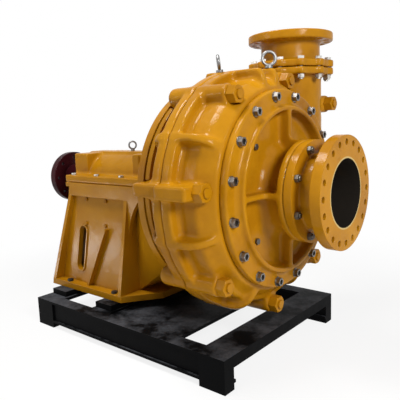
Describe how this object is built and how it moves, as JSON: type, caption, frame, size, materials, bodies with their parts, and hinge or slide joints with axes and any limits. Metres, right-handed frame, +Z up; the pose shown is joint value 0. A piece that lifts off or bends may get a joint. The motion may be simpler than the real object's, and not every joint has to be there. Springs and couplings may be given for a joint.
{
  "type": "slurry pump",
  "caption": "Horizontal slurry pump: ribbed spiral casing, flanged axial suction, offset top discharge, bearing pedestal with coupling, all on a welded skid.",
  "frame": {"origin": "centre of the suction flange's face, on the shaft axis", "axes": "+X along the shaft out of the suction flange, +Z up along the discharge, +Y to the side on which the discharge stands"},
  "size_m": [2.292, 1.4855, 1.843],
  "materials": {
    "ochre_paint": "glossy enamel",
    "zinc_steel": "zinc plated",
    "eye_steel": "satin",
    "hard_iron": "as cast, ground faces",
    "cast_iron": "as cast",
    "gasket_rubber": "matte",
    "packing_cord": "greased cord",
    "bronze": "machined",
    "bearing_steel": "ground",
    "shaft_steel": "turned",
    "maroon_paint": "glossy enamel",
    "black_paint": "satin, dusty"
  },
  "bodies": {
    "frame": {"suction_spool": "ochre_paint", "suction_cover": "ochre_paint", "front_casing": "ochre_paint", "rear_casing": "ochre_paint", "adapter_ring": "ochre_paint", "discharge_spool": "ochre_paint", "bearing_cap": "ochre_paint", "pump_end_cover": "ochre_paint", "drive_end_cover": "ochre_paint", "pedestal": "ochre_paint", "tie_nuts": "ochre_paint", "cap_bolts": "ochre_paint", "panel_bolts": "ochre_paint", "end_cover_screws": "ochre_paint", "spool_studs": "zinc_steel", "spool_nuts": "zinc_steel", "cover_washers": "zinc_steel", "cover_nuts": "zinc_steel", "cover_studs": "zinc_steel", "tie_studs": "zinc_steel", "liner_bolts": "zinc_steel", "discharge_bolts": "zinc_steel", "discharge_nuts": "zinc_steel", "gland_studs": "zinc_steel", "drain_plug": "zinc_steel", "frame_bolts": "zinc_steel", "pedestal_bolts": "zinc_steel", "pedestal_nuts": "zinc_steel", "breather": "zinc_steel", "casing_eyes": "eye_steel", "housing_eye": "eye_steel", "volute_liner": "hard_iron", "front_liner": "hard_iron", "rear_liner": "hard_iron", "stuffing_box": "cast_iron", "suction_gasket": "gasket_rubber", "discharge_gasket": "gasket_rubber", "oil_seals": "gasket_rubber", "packing_rings": "packing_cord", "lantern_ring": "bronze", "pump_end_outer_ring": "bearing_steel", "drive_end_outer_ring": "bearing_steel", "skid_frame": "black_paint", "packing_blocks": "black_paint"},
    "rotor": {"shaft": "shaft_steel", "impeller": "hard_iron", "shaft_sleeve": "shaft_steel", "coupling_half": "maroon_paint", "coupling_key": "shaft_steel", "pump_end_inner_ring": "bearing_steel", "drive_end_inner_ring": "bearing_steel", "lock_nut": "shaft_steel", "slinger": "shaft_steel"},
    "pump_end_roller_set": {"pump_end_cage": "bronze", "pump_end_rollers": "bearing_steel"},
    "drive_end_roller_set": {"drive_end_cage": "bronze", "drive_end_rollers": "bearing_steel"},
    "gland_follower": {"gland": "cast_iron", "gland_nuts": "zinc_steel"}
  },
  "joints": [
    {"name": "shaft_spin", "type": "hinge", "parent": "frame", "child": "rotor", "pos_m": [-1.5, 0, 0], "axis": [1, 0, 0], "continuous": true},
    {"name": "pump_end_roller_orbit", "type": "hinge", "parent": "frame", "child": "pump_end_roller_set", "pos_m": [-1.24, 0, 0], "axis": [1, 0, 0], "continuous": true},
    {"name": "drive_end_roller_orbit", "type": "hinge", "parent": "frame", "child": "drive_end_roller_set", "pos_m": [-1.885, 0, 0], "axis": [1, 0, 0], "continuous": true},
    {"name": "gland_slide", "type": "slide", "parent": "frame", "child": "gland_follower", "axis": [-1, 0, 0], "range_m": [0, 0.045]}
  ],
  "couplings": [
    {"joint": "pump_end_roller_orbit", "follows": "shaft_spin", "ratio": 0.42},
    {"joint": "drive_end_roller_orbit", "follows": "shaft_spin", "ratio": 0.42}
  ]
}
